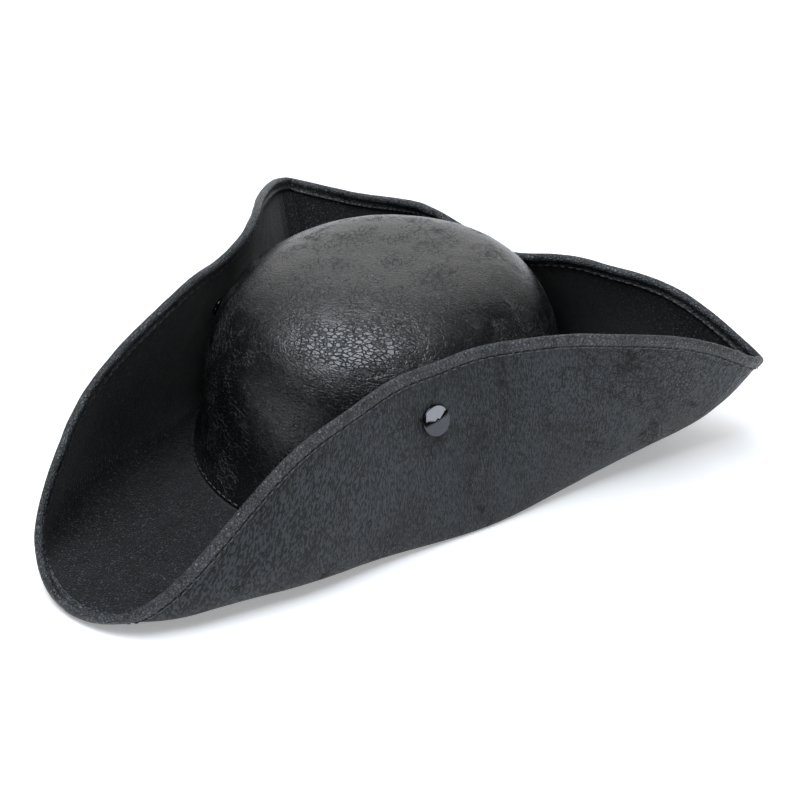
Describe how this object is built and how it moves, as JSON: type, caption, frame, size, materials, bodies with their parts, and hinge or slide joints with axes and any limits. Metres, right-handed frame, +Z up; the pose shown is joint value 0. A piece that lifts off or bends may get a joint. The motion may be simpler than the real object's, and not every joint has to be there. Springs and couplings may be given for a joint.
{
  "type": "tricorn hat",
  "caption": "Black leather tricorn hat with a domed crown, a wide brim turned up on its sides and back, a bound edge and snap studs.",
  "frame": {"origin": "centre of the head opening, on the surface that the hat rests on", "axes": "+Z up through the crown, -Y to the wearer's front, +X to the wearer's left"},
  "size_m": [0.3302, 0.3594, 0.1071],
  "materials": {
    "crown_leather": "satin, fine crackle",
    "brim_leather": "satin, woven grain with cracks",
    "binding_leather": "satin, creased",
    "snap_metal": "polished black nickel"
  },
  "bodies": {
    "root": {"crown": "crown_leather", "brim": "brim_leather", "edge_binding": "binding_leather", "snap_stud_left": "snap_metal", "snap_cap_left": "snap_metal", "snap_stud_right": "snap_metal", "snap_cap_right": "snap_metal", "snap_stud_back": "snap_metal", "snap_cap_back": "snap_metal"}
  },
  "joints": []
}
